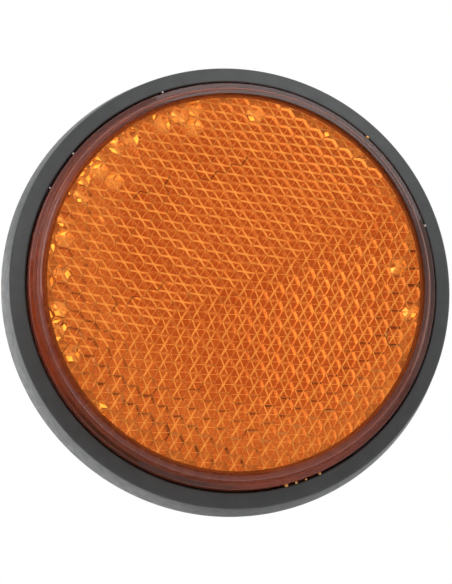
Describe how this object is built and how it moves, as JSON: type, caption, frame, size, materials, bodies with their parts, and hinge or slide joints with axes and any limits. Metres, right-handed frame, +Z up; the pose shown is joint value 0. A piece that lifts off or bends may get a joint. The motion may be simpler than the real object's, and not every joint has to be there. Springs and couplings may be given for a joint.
{
  "type": "round reflector",
  "caption": "Round bolt-on reflector: amber lens with moulded cube-corner prisms in a black plastic housing, held from behind by a threaded stud.",
  "frame": {"origin": "on the stud's axis, in the plane of the back face that is bolted against the bracket", "axes": "+Z up, the lens looks along -Y, the stud runs out along +Y"},
  "size_m": [0.0636, 0.0213, 0.0636],
  "materials": {
    "black_plastic": "black moulded plastic, satin",
    "amber_acrylic": "clear amber acrylic, polished",
    "plated_steel": "bright zinc-plated steel"
  },
  "bodies": {
    "root": {"housing": "black_plastic", "lens": "amber_acrylic", "stud": "plated_steel"}
  },
  "joints": []
}
